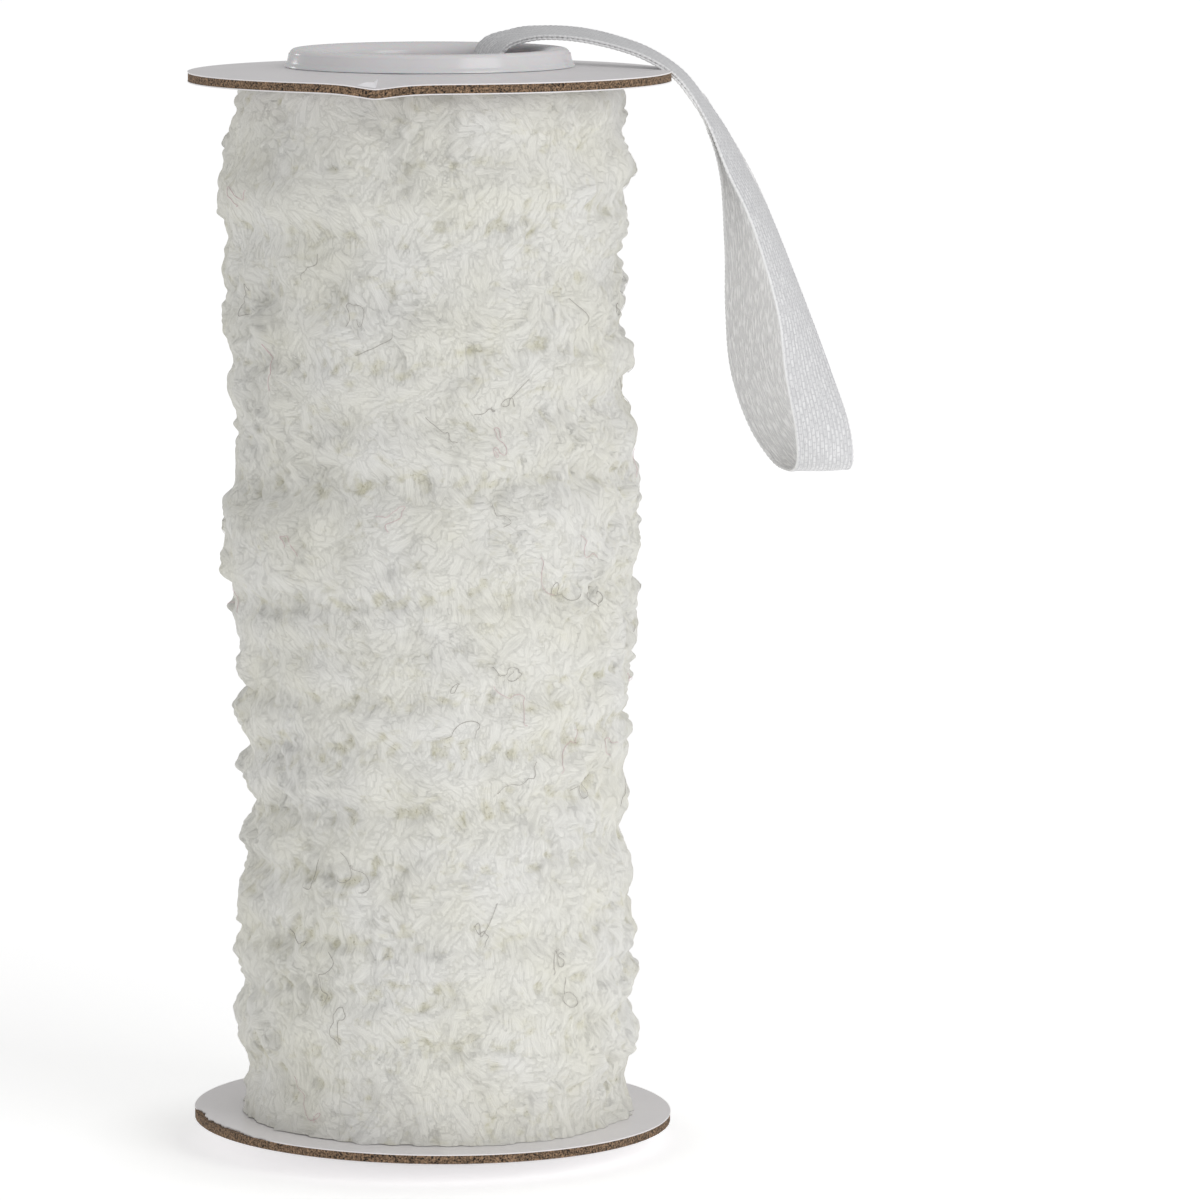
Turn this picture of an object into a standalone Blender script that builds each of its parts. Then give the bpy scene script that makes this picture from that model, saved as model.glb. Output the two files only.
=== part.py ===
"""Spool of fluffy white wired yarn trim, with the satin ribbon loop that hangs from its core.

Metres, +Z up, standing upright. The origin is on the spool's axis, on the surface that it stands on.
The front, which faces the viewer, is at -Y, and the ribbon hangs over the card's edge at +X.
"""

import math

import bpy
from mathutils import Vector, noise

MM = 0.001
GAP = 0.3 * MM

# Card flanges
CARD_RADIUS = 25.4 * MM
CARD_THICKNESS = 1.1 * MM
CARD_SPACING = 110.5 * MM
CARD_DROOP = 0.8 * MM
CARD_SEGMENTS = 72
DENT_AZIMUTH = math.radians(258.7)
DENT_DEPTH = 0.55 * MM
DENT_SPREAD = math.radians(6.5)
DENT_REACH = 3.5 * MM

# Plastic core: a tube whose ends are flared over the cards as ring-shaped heads
TUBE_RADIUS = 12.9 * MM
BORE_RADIUS = 11.9 * MM
HEAD_RADIUS = 15.0 * MM
HEAD_HEIGHT = 1.6 * MM
HEAD_EDGE = 0.6 * MM
FLARE_DEPTH = 1.2 * MM
STANDING_RING = 13.4 * MM
CORE_SEGMENTS = 56
ARC_STEPS = 3

# Wound trim: one layer of side by side turns
WINDING_ROWS = 88
WINDING_SEGMENTS = 48
FRONT_AZIMUTH = math.radians(270)
GROOVE_DEPTH = 1.9 * MM
GROOVE_SHARPNESS = 0.8
GROOVE_UNEVENNESS = 0.5
GROOVE_VARIES_OVER = 1.5 * MM
PILE_LUMP = 0.8 * MM
PILE_LUMP_SIZE = 4.5 * MM
TURN_WANDER = 0.16
TURN_WANDER_SIZE = 16 * MM
# Where the grooves between the turns lie on the front, from the lower card to the upper one.
# depth is each groove's share of the full depth: higher up, every second one is filled with pile.
GROOVES = [
    {"height": 3.3 * MM, "depth": 0.6},
    {"height": 13.4 * MM, "depth": 1.0},
    {"height": 19.0 * MM, "depth": 0.8},
    {"height": 24.3 * MM, "depth": 0.9},
    {"height": 31.9 * MM, "depth": 0.8},
    {"height": 38.6 * MM, "depth": 0.9},
    {"height": 45.1 * MM, "depth": 1.0},
    {"height": 50.0 * MM, "depth": 0.9},
    {"height": 55.0 * MM, "depth": 0.3},
    {"height": 60.0 * MM, "depth": 1.0},
    {"height": 66.1 * MM, "depth": 0.3},
    {"height": 72.1 * MM, "depth": 1.0},
    {"height": 78.7 * MM, "depth": 0.4},
    {"height": 85.4 * MM, "depth": 1.0},
    {"height": 92.2 * MM, "depth": 0.4},
    {"height": 98.9 * MM, "depth": 0.9},
    {"height": 105.6 * MM, "depth": 0.4},
    {"height": 112.9 * MM, "depth": 0.6},
]
# Height, outer radius and sideways lean of the winding, from the bottom turn to the top one
WINDING_OUTLINE = [
    {"height": 3 * MM, "radius": 20.4 * MM, "lean": 0.5 * MM},
    {"height": 8 * MM, "radius": 20.5 * MM, "lean": 0.6 * MM},
    {"height": 12 * MM, "radius": 21.6 * MM, "lean": 0.3 * MM},
    {"height": 22 * MM, "radius": 21.2 * MM, "lean": 0.4 * MM},
    {"height": 37 * MM, "radius": 20.4 * MM, "lean": 0.4 * MM},
    {"height": 54 * MM, "radius": 21.1 * MM, "lean": 0.6 * MM},
    {"height": 66 * MM, "radius": 22.1 * MM, "lean": 0.0 * MM},
    {"height": 75 * MM, "radius": 21.2 * MM, "lean": 0.7 * MM},
    {"height": 80 * MM, "radius": 20.9 * MM, "lean": -0.6 * MM},
    {"height": 86 * MM, "radius": 21.6 * MM, "lean": -0.4 * MM},
    {"height": 95 * MM, "radius": 21.0 * MM, "lean": -0.6 * MM},
    {"height": 102 * MM, "radius": 21.9 * MM, "lean": -0.4 * MM},
    {"height": 110 * MM, "radius": 20.9 * MM, "lean": 0.0 * MM},
    {"height": 114 * MM, "radius": 20.7 * MM, "lean": 0.0 * MM},
]

# Ribbon: a quarter inch satin ribbon, both ends down the bore, hanging as a loop
RIBBON_WIDTH = 6.35 * MM
RIBBON_THICKNESS = 0.5 * MM
PLY_SPACING = 0.8 * MM
PLY_FAN = 1.2 * MM
ROWS_TO_FULL_FAN = 4
UPPER_PLY_EXTRA = 3.4 * MM
POINTS_PER_SPAN = 3
# Middle of the two plies where they run together, from the bore wall over the card's edge.
# face is how far the ribbon's flat side is turned towards the front, in degrees.
RIBBON_ARCH = [
    {"x": 6.2, "y": 7.6, "z": 105.0, "face": -40},
    {"x": 6.2, "y": 7.6, "z": 110.5, "face": -40},
    {"x": 6.2, "y": 6.9, "z": 114.8, "face": -28},
    {"x": 8.3, "y": 6.3, "z": 117.0, "face": -10},
    {"x": 11.6, "y": 5.6, "z": 117.8, "face": 0},
    {"x": 15.4, "y": 4.8, "z": 117.75, "face": 2},
    {"x": 19.2, "y": 4.1, "z": 117.0, "face": 4},
    {"x": 22.9, "y": 3.6, "z": 116.15, "face": 6},
    {"x": 26.2, "y": 3.2, "z": 114.55, "face": 9},
    {"x": 28.6, "y": 2.9, "z": 111.8, "face": 13},
]
# The front ply on its own, from below the card's edge to the bottom of the loop
RIBBON_FRONT = [
    {"x": 30.5, "y": 1.9, "z": 107.6, "face": 18},
    {"x": 32.5, "y": 0.6, "z": 103.3, "face": 21},
    {"x": 34.6, "y": -0.4, "z": 99.1, "face": 22},
    {"x": 36.6, "y": -1.0, "z": 93.8, "face": 26},
    {"x": 38.4, "y": -1.5, "z": 88.2, "face": 34},
    {"x": 39.8, "y": -2.0, "z": 82.3, "face": 53},
    {"x": 41.2, "y": -2.2, "z": 76.8, "face": 68},
]
# The bottom of the loop, from the front round to the back
RIBBON_BOTTOM = [
    {"x": 41.6, "y": -1.0, "z": 72.9, "face": 78},
    {"x": 41.0, "y": 1.9, "z": 71.6, "face": 84},
    {"x": 39.2, "y": 4.8, "z": 73.0, "face": 87},
]
# The rear ply on its own, from below the card's edge to the bottom of the loop
RIBBON_REAR = [
    {"x": 30.0, "y": 4.0, "z": 108.6, "face": 24},
    {"x": 31.8, "y": 4.4, "z": 105.2, "face": 40},
    {"x": 33.2, "y": 4.6, "z": 101.0, "face": 60},
    {"x": 34.0, "y": 4.9, "z": 95.0, "face": 78},
    {"x": 34.2, "y": 5.4, "z": 88.5, "face": 86},
    {"x": 34.7, "y": 5.9, "z": 82.5, "face": 87},
    {"x": 36.5, "y": 6.0, "z": 77.0, "face": 87},
]

# Heights worked out from the sizes above
LOWER_CARD_UNDER = HEAD_HEIGHT + GAP
LOWER_CARD_TOP = LOWER_CARD_UNDER + CARD_THICKNESS
UPPER_RIM_TOP = LOWER_CARD_TOP + CARD_SPACING
UPPER_CARD_TOP = UPPER_RIM_TOP + CARD_DROOP
UPPER_CARD_UNDER = UPPER_CARD_TOP - CARD_THICKNESS
UPPER_HEAD_SEAT = UPPER_CARD_TOP + GAP
WINDING_BOTTOM = LOWER_CARD_TOP + GAP
WINDING_TOP = UPPER_CARD_UNDER - GAP
CARD_HOLE_RADIUS = TUBE_RADIUS + GAP
WINDING_BORE_RADIUS = TUBE_RADIUS + GAP


def clear_scene():
    for obj in list(bpy.data.objects):
        bpy.data.objects.remove(obj)


def make_collection(name):
    collection = bpy.data.collections.new(name)
    bpy.context.scene.collection.children.link(collection)
    return collection


def make_material(name, colour, roughness, metallic=0.0):
    material = bpy.data.materials.new(name)
    material.use_nodes = True
    shader = material.node_tree.nodes["Principled BSDF"]
    shader.inputs["Base Color"].default_value = (*colour, 1.0)
    shader.inputs["Roughness"].default_value = roughness
    shader.inputs["Metallic"].default_value = metallic
    return material


def add_object(name, mesh, material, collection):
    obj = bpy.data.objects.new(name, mesh)
    obj.data.materials.append(material)
    collection.objects.link(obj)
    return obj


def turned_mesh(name, profile, segments):
    """Spins a closed (radius, height) outline, which runs down its outer side, round the Z axis."""
    outline = bpy.data.meshes.new(name + "_outline")
    points = [(radius, 0.0, height) for radius, height in profile]
    edges = [(i, (i + 1) % len(points)) for i in range(len(points))]
    outline.from_pydata(points, edges, [])
    spun = bpy.data.objects.new(name + "_outline", outline)
    bpy.context.scene.collection.objects.link(spun)
    screw = spun.modifiers.new("Spin", "SCREW")
    screw.angle = 2 * math.pi
    screw.steps = segments
    screw.render_steps = segments
    bpy.context.view_layer.update()
    graph = bpy.context.evaluated_depsgraph_get()
    mesh = bpy.data.meshes.new_from_object(spun.evaluated_get(graph))
    mesh.name = name
    bpy.data.objects.remove(spun)
    bpy.data.meshes.remove(outline)
    return mesh


def shade(mesh, sharp_degrees):
    mesh.shade_smooth()
    mesh.set_sharp_from_angle(angle=math.radians(sharp_degrees))


def head_outline():
    """Half of the core's outline: a flared head from the bore over the ring and down to the tube.

    Heights are measured from the head's seat on the card.
    """
    points = []
    for step in range(ARC_STEPS + 1):
        turn = math.radians(90) * step / ARC_STEPS
        radius = BORE_RADIUS + (STANDING_RING - BORE_RADIUS) * (1 - math.cos(turn))
        points.append((radius, HEAD_HEIGHT - FLARE_DEPTH * (1 - math.sin(turn))))
    for step in range(ARC_STEPS + 1):
        turn = math.radians(90) * (1 - step / ARC_STEPS)
        radius = HEAD_RADIUS - HEAD_EDGE * (1 - math.cos(turn))
        points.append((radius, HEAD_HEIGHT - HEAD_EDGE * (1 - math.sin(turn))))
    points.append((HEAD_RADIUS, 0.0))
    points.append((TUBE_RADIUS, 0.0))
    return points


def core(material, collection):
    upper = [(radius, UPPER_HEAD_SEAT + height) for radius, height in head_outline()]
    lower = [(radius, HEAD_HEIGHT - height) for radius, height in reversed(head_outline())]
    mesh = turned_mesh("spool_core", upper + lower, CORE_SEGMENTS)
    shade(mesh, 40)
    return add_object("spool_core", mesh, material, collection)


def upper_card_drop(radius, azimuth):
    """How far the upper card lies below its flat centre, with the knock in its front edge."""
    droop = CARD_DROOP * max(0.0, (radius - HEAD_RADIUS) / (CARD_RADIUS - HEAD_RADIUS))
    away = (azimuth - DENT_AZIMUTH) / DENT_SPREAD
    inward = (CARD_RADIUS - radius) / DENT_REACH
    return droop + DENT_DEPTH * math.exp(-abs(away) ** 1.5) * math.exp(-inward)


def azimuth_of(point):
    return math.atan2(point.y, point.x) % (2 * math.pi)


def card(name, radii, underside, drop, material, collection):
    """A disc with a hole, as rings of points at these radii, lowered by drop(radius, azimuth)."""
    top = [(radius, underside + CARD_THICKNESS) for radius in radii]
    bottom = [(radius, underside) for radius in reversed(radii)]
    mesh = turned_mesh(name, top + bottom, CARD_SEGMENTS)
    for vertex in mesh.vertices:
        point = vertex.co
        point.z -= drop(math.hypot(point.x, point.y), azimuth_of(point))
    shade(mesh, 30)
    return add_object(name, mesh, material, collection)


def outline_at(height, column):
    """The winding's outline table, read between its rows along a smooth step."""
    rows = WINDING_OUTLINE
    for low, high in zip(rows, rows[1:]):
        if height <= high["height"]:
            share = (height - low["height"]) / (high["height"] - low["height"])
            share = share * share * (3 - 2 * share)
            return low[column] + (high[column] - low[column]) * share
    return rows[-1][column]


def turn_number(height):
    """How many turns lie below this height on the front: 2.5 is the middle of the third turn."""
    for i, (low, high) in enumerate(zip(GROOVES, GROOVES[1:])):
        if height <= high["height"] or i == len(GROOVES) - 2:
            return i + (height - low["height"]) / (high["height"] - low["height"])


def groove_share(number, way_round):
    """The depth of the groove with this number, part of the way round to the next one above it."""
    last = len(GROOVES) - 1
    here = GROOVES[min(max(number, 0), last)]["depth"]
    above = GROOVES[min(max(number + 1, 0), last)]["depth"]
    return here + (above - here) * way_round


def wound_surface(azimuth, height):
    """The radius of the wound pile: a ridge for each turn, which climbs one turn each time round."""
    radius = outline_at(height, "radius")
    place = Vector((radius * math.cos(azimuth), radius * math.sin(azimuth), height))
    way_round = ((azimuth - FRONT_AZIMUTH) / (2 * math.pi)) % 1.0
    wander = TURN_WANDER * noise.noise(place / TURN_WANDER_SIZE)
    turn = turn_number(height) - way_round + wander
    ridge = (0.5 - 0.5 * math.cos(2 * math.pi * turn)) ** GROOVE_SHARPNESS
    depth = GROOVE_DEPTH * groove_share(round(turn), way_round)
    depth *= 1 + GROOVE_UNEVENNESS * noise.noise(place / GROOVE_VARIES_OVER)
    lump = PILE_LUMP * noise.noise(place / PILE_LUMP_SIZE)
    return radius - depth * (1 - ridge) + lump


def winding(material, collection):
    """The trim as it is wound: one solid from card to card round the tube."""
    step = (WINDING_TOP - WINDING_BOTTOM) / WINDING_ROWS
    nominal = WINDING_OUTLINE[0]["radius"]
    outer = [(nominal, WINDING_TOP - step * row) for row in range(WINDING_ROWS + 1)]
    bore = [(WINDING_BORE_RADIUS, WINDING_BOTTOM), (WINDING_BORE_RADIUS, WINDING_TOP)]
    mesh = turned_mesh("trim_winding", outer + bore, WINDING_SEGMENTS)
    for vertex in mesh.vertices:
        point = vertex.co
        if math.hypot(point.x, point.y) < nominal - GAP:
            continue
        height = point.z
        azimuth = azimuth_of(point)
        radius = wound_surface(azimuth, height)
        point.x = radius * math.cos(azimuth) + outline_at(height, "lean")
        point.y = radius * math.sin(azimuth)
        ceiling = WINDING_TOP - upper_card_drop(math.hypot(point.x, point.y), azimuth)
        point.z = min(height, ceiling)
    shade(mesh, 60)
    return add_object("trim_winding", mesh, material, collection)


def row_place(row):
    return Vector((row["x"], row["y"], row["z"])) * MM


def row_width_direction(row):
    """Which way the ribbon's width runs: along Y at face 0, and along X at face 90."""
    turn = math.radians(row["face"])
    return Vector((math.sin(turn), math.cos(turn), 0.0))


def arch_ply(side):
    """The pair's middle line, moved to one ply: side is 1 for the upper ply and -1 for the lower."""
    places = [row_place(row) for row in RIBBON_ARCH]
    ply = []
    for i, row in enumerate(RIBBON_ARCH):
        along = places[min(i + 1, len(places) - 1)] - places[max(i - 1, 0)]
        along.normalize()
        across = row_width_direction(row)
        across = (across - along * across.dot(along)).normalized()
        upward = along.cross(across)
        fan = PLY_FAN * min(1.0, i / ROWS_TO_FULL_FAN)
        ply.append((places[i] + upward * side * PLY_SPACING / 2 - across * side * fan / 2, across))
    if side > 0:
        ply[0] = (ply[0][0] - Vector((0, 0, UPPER_PLY_EXTRA)), ply[0][1])
    return ply


def single_ply(rows):
    return [(row_place(row), row_width_direction(row)) for row in rows]


def smooth_route(stations):
    """Catmull-Rom through (place, width direction) stations, the same number of points in each span."""
    route = []
    last = len(stations) - 1
    for i in range(last):
        before, start, end, after = (
            stations[max(i - 1, 0)],
            stations[i],
            stations[i + 1],
            stations[min(i + 2, last)],
        )
        for step in range(POINTS_PER_SPAN):
            t = step / POINTS_PER_SPAN
            route.append(
                tuple(
                    0.5
                    * (
                        2 * start[part]
                        + (end[part] - before[part]) * t
                        + (2 * before[part] - 5 * start[part] + 4 * end[part] - after[part]) * t**2
                        + (3 * start[part] - before[part] - 3 * end[part] + after[part]) * t**3
                    )
                    for part in range(2)
                )
            )
    route.append(stations[last])
    return route


def ribbon_route():
    """Out of the bore on the upper ply, down the front, round the bottom and back up the rear ply."""
    stations = arch_ply(1) + single_ply(RIBBON_FRONT) + single_ply(RIBBON_BOTTOM)
    stations += list(reversed(single_ply(RIBBON_REAR))) + list(reversed(arch_ply(-1)))
    return smooth_route(stations)


def ribbon(material, collection):
    """A flat strip: a four-cornered section at each point of the route, joined into one closed loft."""
    route = ribbon_route()
    corners = []
    for i, (place, across) in enumerate(route):
        along = route[min(i + 1, len(route) - 1)][0] - route[max(i - 1, 0)][0]
        along.normalize()
        across = (across - along * across.dot(along)).normalized()
        normal = along.cross(across)
        wide = across * RIBBON_WIDTH / 2
        thick = normal * RIBBON_THICKNESS / 2
        corners += [place + wide + thick, place - wide + thick, place - wide - thick, place + wide - thick]
    faces = [(3, 2, 1, 0), tuple(len(corners) - 4 + i for i in range(4))]
    for section in range(len(route) - 1):
        start = 4 * section
        for side in range(4):
            following = (side + 1) % 4
            faces.append((start + side, start + following, start + 4 + following, start + 4 + side))
    mesh = bpy.data.meshes.new("ribbon_loop")
    mesh.from_pydata(corners, [], faces)
    shade(mesh, 45)
    return add_object("ribbon_loop", mesh, material, collection)


def flat_card(_radius, _azimuth):
    return 0.0


def build():
    clear_scene()
    parts = make_collection("yarn_trim_spool")
    plastic = make_material("white plastic", (0.80, 0.79, 0.81), 0.35)
    paper = make_material("white faced card", (0.78, 0.77, 0.79), 0.55)
    yarn = make_material("white yarn pile", (0.88, 0.89, 0.83), 0.95)
    satin = make_material("white satin", (0.86, 0.87, 0.88), 0.40)
    core(plastic, parts)
    card("card_lower", [CARD_HOLE_RADIUS, CARD_RADIUS], LOWER_CARD_UNDER, flat_card, paper, parts)
    upper_radii = [CARD_HOLE_RADIUS, HEAD_RADIUS, 20.5 * MM, 23.5 * MM, CARD_RADIUS]
    card("card_upper", upper_radii, UPPER_CARD_UNDER, upper_card_drop, paper, parts)
    winding(yarn, parts)
    ribbon(satin, parts)


build()
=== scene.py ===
"""Spool of fluffy white wired yarn trim: the finish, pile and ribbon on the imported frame, and its stage.

The file is laid out as an add-on with one operator for each piece. Run as a script, it makes them all.
Lengths are in metres in the frame's own axes: +Z is up and the viewer is at -Y.
"""

import math
import random

import bmesh
import bpy
import numpy as np
from bpy.props import FloatProperty, FloatVectorProperty, IntProperty, PointerProperty
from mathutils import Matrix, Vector, noise


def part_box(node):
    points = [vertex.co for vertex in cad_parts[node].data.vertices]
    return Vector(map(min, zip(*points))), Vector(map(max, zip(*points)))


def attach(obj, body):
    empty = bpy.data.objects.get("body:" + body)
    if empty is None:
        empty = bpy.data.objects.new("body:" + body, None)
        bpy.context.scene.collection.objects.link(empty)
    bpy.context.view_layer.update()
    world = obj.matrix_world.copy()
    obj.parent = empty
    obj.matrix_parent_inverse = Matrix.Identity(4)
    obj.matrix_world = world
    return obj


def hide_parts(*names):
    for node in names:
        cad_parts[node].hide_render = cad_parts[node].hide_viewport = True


bl_info = {
    "name": "Wired Yarn Trim Spool",
    "version": (1, 0, 0),
    "blender": (4, 5, 0),
    "location": "View3D > Sidebar > Yarn Spool",
    "description": "Makes a spool of fluffy wired yarn trim with its ribbon loop",
    "category": "Object",
}

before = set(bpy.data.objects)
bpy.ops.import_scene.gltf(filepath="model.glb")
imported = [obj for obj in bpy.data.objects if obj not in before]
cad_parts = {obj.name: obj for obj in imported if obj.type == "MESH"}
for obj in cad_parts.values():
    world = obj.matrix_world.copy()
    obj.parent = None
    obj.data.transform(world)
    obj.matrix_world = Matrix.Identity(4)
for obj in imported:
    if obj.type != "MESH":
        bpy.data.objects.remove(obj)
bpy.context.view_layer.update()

MM = 0.001
BODY = "root"
FRONT_AZIMUTH = math.radians(270)

# Places and sizes read from the frame
CARD_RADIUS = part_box("card_upper")[1].x
LOWER_CARD_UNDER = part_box("card_lower")[0].z
LOWER_CARD_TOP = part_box("card_lower")[1].z
UPPER_CARD_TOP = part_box("card_upper")[1].z
CARD_THICKNESS = LOWER_CARD_TOP - LOWER_CARD_UNDER
UPPER_CARD_UNDER = UPPER_CARD_TOP - CARD_THICKNESS
HEAD_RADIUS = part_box("spool_core")[1].x
CORE_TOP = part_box("spool_core")[1].z
WINDING_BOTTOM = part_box("trim_winding")[0].z
WINDING_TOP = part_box("trim_winding")[1].z

# Card discs: how far the upper one's rim droops, how far the lower one's rim rises at its front
# (twice that at its left), and the knock in the upper one's front edge
CARD_HOLE_RADIUS = 13.2 * MM
CARD_DROOP = 0.46 * MM
LOWER_CARD_RISE = 0.35 * MM
DENT_AZIMUTH = math.radians(258.7)
DENT_DEPTH = 0.55 * MM
DENT_SPREAD = math.radians(6.5)
DENT_REACH = 3.5 * MM
CARD_SEGMENTS = 480
CARD_RINGS = [CARD_HOLE_RADIUS, HEAD_RADIUS, 18 * MM, 21 * MM, 23 * MM, 23.9 * MM, 24.5 * MM]
CARD_RINGS += [CARD_RADIUS]
FOLD_CORNERS = [
    (254.3, 25.25 * MM, 0.02 * MM),
    (258.8, 25.2 * MM, 0.02 * MM),
    (259.0, 24.75 * MM, 0.85 * MM),
    (258.0, 24.7 * MM, 0.5 * MM),
    (256.2, 24.75 * MM, 0.42 * MM),
    (254.4, 24.95 * MM, 0.12 * MM),
]
TEAR_AZIMUTHS = [math.radians(turn) for turn in (183, 190, 212, 236)]
TEAR_DEPTH = 0.9 * MM
UNDER_PAPER_WEAR = 0.3 * MM
BOARD_ROUGHNESS = 120
PAPER_ROUGHNESS = 75
TEAR_ROUGHNESS = 16
FOLD_THICKNESS = 0.09 * MM

# Core
BORE_RADIUS = 11.9 * MM
TUBE_RADIUS = 12.9 * MM
HEAD_HEIGHT = LOWER_CARD_UNDER - 0.3 * MM
STANDING_RING = 13.4 * MM
HEAD_EDGE = 0.6 * MM
FLARE_DEPTH = 1.2 * MM
WALL_DRAFT = 0.3 * MM

# Wound trim, as in the frame: where the grooves between the turns lie on the front
GROOVE_DEPTH = 0.9 * MM
GROOVE_SHARPNESS = 0.8
TURN_WANDER = 0.16
TURN_WANDER_SIZE = 16 * MM
PILE_LUMP = 0.8 * MM
PILE_LUMP_SIZE = 4.5 * MM
GROOVES = [
    {"height": height * MM, "depth": depth}
    for height, depth in (
        (3.3, 0.6),
        (13.4, 1.0),
        (19.0, 0.8),
        (24.3, 0.9),
        (31.9, 0.8),
        (38.6, 0.9),
        (45.1, 1.0),
        (50.0, 0.9),
        (55.0, 0.3),
        (60.0, 1.0),
        (66.1, 0.3),
        (72.1, 1.0),
        (78.7, 0.4),
        (85.4, 1.0),
        (92.2, 0.4),
        (98.9, 0.9),
        (105.6, 0.4),
        (112.9, 0.6),
    )
]
WINDING_OUTLINE = [
    {"height": height * MM, "radius": radius * MM, "lean": lean * MM}
    for height, radius, lean in (
        (3, 20.4, 0.5),
        (8, 20.5, 0.6),
        (12, 21.6, 0.3),
        (22, 21.2, 0.4),
        (37, 20.4, 0.4),
        (54, 21.1, 0.6),
        (66, 22.1, 0.0),
        (75, 21.2, 0.7),
        (80, 20.9, -0.6),
        (86, 21.6, -0.4),
        (95, 21.0, -0.6),
        (102, 21.9, -0.4),
        (110, 20.9, 0.0),
        (114, 20.7, 0.0),
    )
]

# Combed pile: its swirls and lumps, its hollows, its bands, and its two ends
COMB_SIZE = 6.0 * MM
COMB_SWIRL = 0.9
COMB_FAN = 0.8
COMB_SAG = 0.1
CLUMPS = [(4.4 * MM, 1.2 * MM), (2.4 * MM, 1.5 * MM), (1.4 * MM, 0.95 * MM)]
CLUMP_ROUNDING = 0.16
CLUMP_WARP = 1.4 * MM
CLUMP_WARP_SIZE = 5 * MM
CLUMP_PATCH_SIZE = 8 * MM
HOLLOW_SIZE = 1.3 * MM
HOLLOW_DEPTH = 0.3 * MM
PILE_ROWS = 560
PILE_COLUMNS = 672
BAND_GROOVES = [13, 9, 5]
PILE_SOFTNESS = 0.87
PILE_SOFTENING_PASSES = 110
PILE_CLEARANCE = 0.03 * MM
PILE_END = 3 * MM
PILE_BORE = TUBE_RADIUS + 0.1 * MM
PILE_FOOT_RADIUS = 21 * MM
SKIRT_HEIGHT = 1.8 * MM
SKIRT_REACH = 0.6 * MM
SKIRT_RAGGED = 0.25 * MM
SKIRT_TUFTS = 18
TOP_ROUNDING = 1.7 * MM
YARN_BUMP = 0.045 * MM
HAIR_SIDES = 4
WARM_YARN = (0.785, 0.775, 0.70, 1)
# Olive of patches that are partly stains and partly painted shade in the partings
STAIN_AND_SHADE_YARN = (0.665, 0.645, 0.51, 1)
FLECKED_YARN = (0.36, 0.33, 0.21, 1)
HAIR_COLOURS = {"grey": (0.42, 0.40, 0.37, 1), "pink": (0.70, 0.52, 0.54, 1)}


def stations(*rows):
    """Places along the ribbon in millimetres, with the turn of its face and its roll in degrees."""
    return [dict(zip(("x", "y", "z", "face", "roll"), row)) for row in rows]


# Ribbon route, close to the frame's: its plies lie together and roll towards the viewer over the arch
RIBBON_WIDTH = 6.35 * MM
PLY_SPACING = 0.27 * MM
PLY_FAN = -0.06 * MM
BEAD_SPACING = 0.56 * MM
BEAD_INSET = 0.3 * MM
ROWS_TO_FULL_FAN = 4
CUP_STARTS = (36 * MM, 50 * MM)
CUP_ENDS = (74 * MM, 90 * MM)
POINTS_PER_SPAN = 32
UPPER_PLY_EXTRA = 3.4 * MM
RIBBON_ARCH = stations(
    (6.2, 7.6, 105.0, -40, 0),
    (6.2, 7.6, 110.5, -40, 0),
    (6.2, 6.9, 114.8, -28, 4),
    (8.3, 6.3, 116.8, -10, 6),
    (11.6, 5.6, 117.5, 0, 7),
    (15.4, 4.8, 117.4, 2, 7),
    (19.2, 4.1, 116.65, 4, 6),
    (22.8, 3.6, 115.4, 6, 4),
    (26.0, 3.3, 113.35, 7, 2),
    (28.3, 2.8, 110.55, 10, 0),
)
RIBBON_FRONT = stations(
    (30.5, 1.9, 107.4, 15),
    (32.5, 0.6, 103.3, 21),
    (34.6, -0.4, 99.1, 22),
    (36.6, -1.0, 93.8, 26),
    (38.4, -1.5, 88.2, 34),
    (39.8, -2.0, 82.3, 53),
    (41.2, -2.2, 76.8, 68),
)
RIBBON_BOTTOM = stations(
    (41.6, -1.0, 72.9, 78),
    (41.0, 1.9, 71.6, 84),
    (39.2, 4.8, 73.0, 87),
)
RIBBON_REAR = stations(
    (29.6, 4.0, 108.2, 15),
    (31.2, 4.4, 105.0, 24),
    (32.6, 4.6, 101.0, 40),
    (33.9, 4.9, 95.0, 70),
    (34.2, 5.4, 88.5, 86),
    (34.7, 5.9, 82.5, 87),
    (36.5, 6.0, 77.0, 87),
)

# Camera, found from the two discs' ellipses in the 1200 x 1200 photograph
CAMERA_PLACE = (17.85 * MM, -760 * MM, 154.5 * MM)
CAMERA_PITCH = math.radians(7.245)
FOCAL_PIXELS = 7240
PHOTO_PIXELS = 1200
SENSOR_WIDTH_MM = 36

# Stage: how far the floor's glow fades near the spool, as painted shade, and under it, as a painted shadow,
# the middle of that painted shadow, and the lamps
PAINTED_SHADE_GLOW_NEAR = 0.82
PAINTED_SHADOW_GLOW = 0.76
SHADE_PLACE = (-3 * MM, -1 * MM, 0)
FLOOR_HALF = 8.0
WORLD_STRENGTH = 0.53
LAMP_AIM = (0, 0, 0.06)
LAMPS = [
    {"name": "key", "place": (0.9, -0.9, 0.72), "size": 0.8, "power": 5.7},
    {"name": "rim", "place": (-0.72, 0.86, 0.3), "size": 0.12, "power": 0.25},
]


def length_setting(name, description, default):
    """A setting in metres."""
    return FloatProperty(name=name, description=description, default=default, unit="LENGTH")


def colour_setting(name, description, default):
    """A setting that holds a colour."""
    return FloatVectorProperty(name=name, description=description, subtype="COLOR", default=default)


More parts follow.
